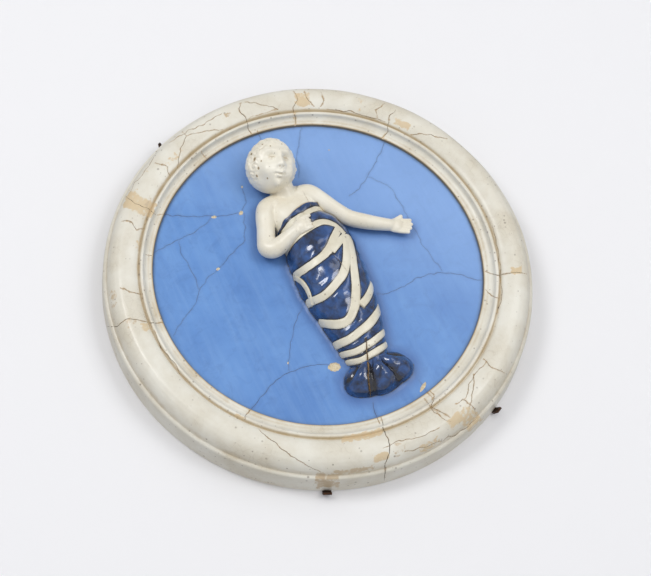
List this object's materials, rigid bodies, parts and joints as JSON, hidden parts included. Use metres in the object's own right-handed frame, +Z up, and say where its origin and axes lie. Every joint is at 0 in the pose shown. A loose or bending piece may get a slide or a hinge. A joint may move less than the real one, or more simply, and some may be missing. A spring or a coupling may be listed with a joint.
{
  "type": "relief plaque",
  "caption": "Round glazed earthenware wall plaque with a moulded frame and a swaddled infant in high relief on a flat field.",
  "frame": {"origin": "middle of the flat back, on the wall's plane", "axes": "-Y towards the viewer out of the plaque's front, +Y into the wall, +Z up towards the infant's head, +X to the viewer's right"},
  "size_m": [0.5546, 0.1119, 0.5616],
  "materials": {
    "tin_glaze": "glossy white tin glaze, aged to ivory, with blue glazed field",
    "iron": "dark rusted iron"
  },
  "bodies": {
    "root": {"plaque": "tin_glaze", "clip_1": "iron", "clip_2": "iron", "clip_3": "iron", "clip_4": "iron"}
  },
  "joints": []
}
